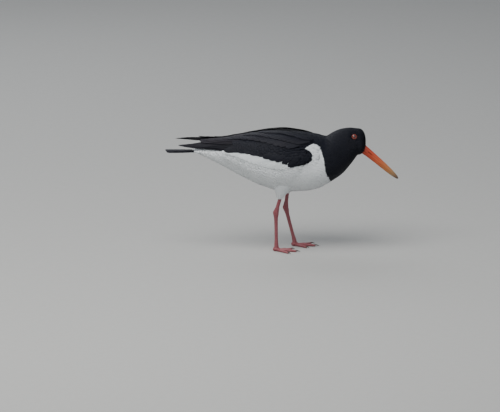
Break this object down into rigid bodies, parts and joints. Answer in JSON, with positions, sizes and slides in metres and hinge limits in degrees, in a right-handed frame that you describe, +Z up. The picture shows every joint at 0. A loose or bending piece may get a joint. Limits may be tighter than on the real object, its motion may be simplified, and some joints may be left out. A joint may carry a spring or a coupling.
{
  "type": "oystercatcher",
  "caption": "Life-size still model of a Eurasian oystercatcher walking on its own two feet, head and long bill lowered.",
  "frame": {"origin": "centre of the overall bounding box, at the level of the soles", "axes": "+X towards the bill tip, +Y to the bird's left, +Z up"},
  "size_m": [0.373, 0.0996, 0.1974],
  "materials": {
    "plumage_black": "matt with a faint sheen",
    "plumage_white": "matt",
    "bill": "satin horn",
    "eye": "gloss",
    "leg_skin": "satin scaly skin",
    "claw": "satin horn"
  },
  "bodies": {
    "root": {"torso": "plumage_white", "neck": "plumage_black", "head": "plumage_black", "bill_upper": "bill", "bill_lower": "bill", "tail": "plumage_black", "eye_left": "eye", "wing_left": "plumage_black", "leg_left_thigh": "plumage_white", "leg_left_shank": "leg_skin", "leg_left_tarsus": "leg_skin", "toe_left_inner": "leg_skin", "claw_left_inner": "claw", "toe_left_middle": "leg_skin", "claw_left_middle": "claw", "toe_left_outer": "leg_skin", "claw_left_outer": "claw", "eye_right": "eye", "wing_right": "plumage_black", "leg_right_thigh": "plumage_white", "leg_right_shank": "leg_skin", "leg_right_tarsus": "leg_skin", "toe_right_inner": "leg_skin", "claw_right_inner": "claw", "toe_right_middle": "leg_skin", "claw_right_middle": "claw", "toe_right_outer": "leg_skin", "claw_right_outer": "claw"}
  },
  "joints": []
}
